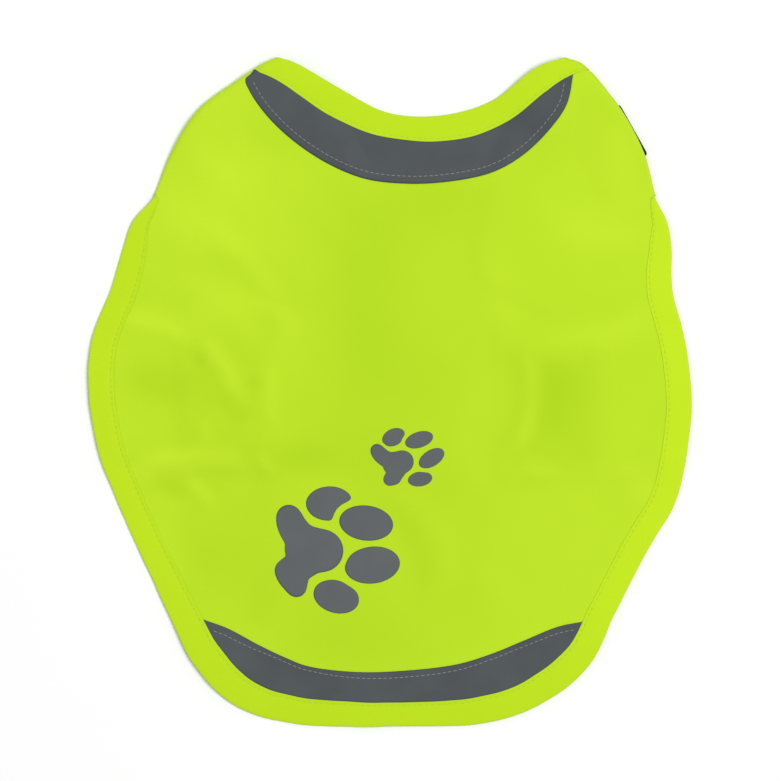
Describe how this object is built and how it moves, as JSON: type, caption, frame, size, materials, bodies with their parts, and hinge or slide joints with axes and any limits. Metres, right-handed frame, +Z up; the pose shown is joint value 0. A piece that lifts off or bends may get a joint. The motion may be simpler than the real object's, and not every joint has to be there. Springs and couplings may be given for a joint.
{
  "type": "dog safety vest",
  "caption": "High-visibility dog vest laid flat, with bound edges, reflective crescents at neck and tail, and neck and belly straps folded under.",
  "frame": {"origin": "middle of the bounding box, on the surface that the vest lies on", "axes": "+Y towards the neck, +Z up out of the vest's outer face, +X to the right as seen from above"},
  "size_m": [0.3341, 0.3729, 0.0083],
  "materials": {
    "hi_vis_cloth": "woven polyester, fluorescent yellow-green, matt",
    "binding": "folded bias tape in the same yellow-green, stitched near its inner edge",
    "reflective_tape": "retro-reflective tape, silver-grey, satin",
    "hook_and_loop": "black hook-and-loop tape"
  },
  "bodies": {
    "root": {"back_panel": "hi_vis_cloth", "binding_neck": "binding", "binding_body": "binding", "reflector_neck": "reflective_tape", "reflector_tail": "reflective_tape", "belly_strap_left": "hi_vis_cloth", "belly_strap_right": "hi_vis_cloth", "hook_patch_neck": "hook_and_loop", "loop_patch_neck": "hook_and_loop", "hook_patch_belly": "hook_and_loop", "loop_patch_belly": "hook_and_loop"}
  },
  "joints": []
}
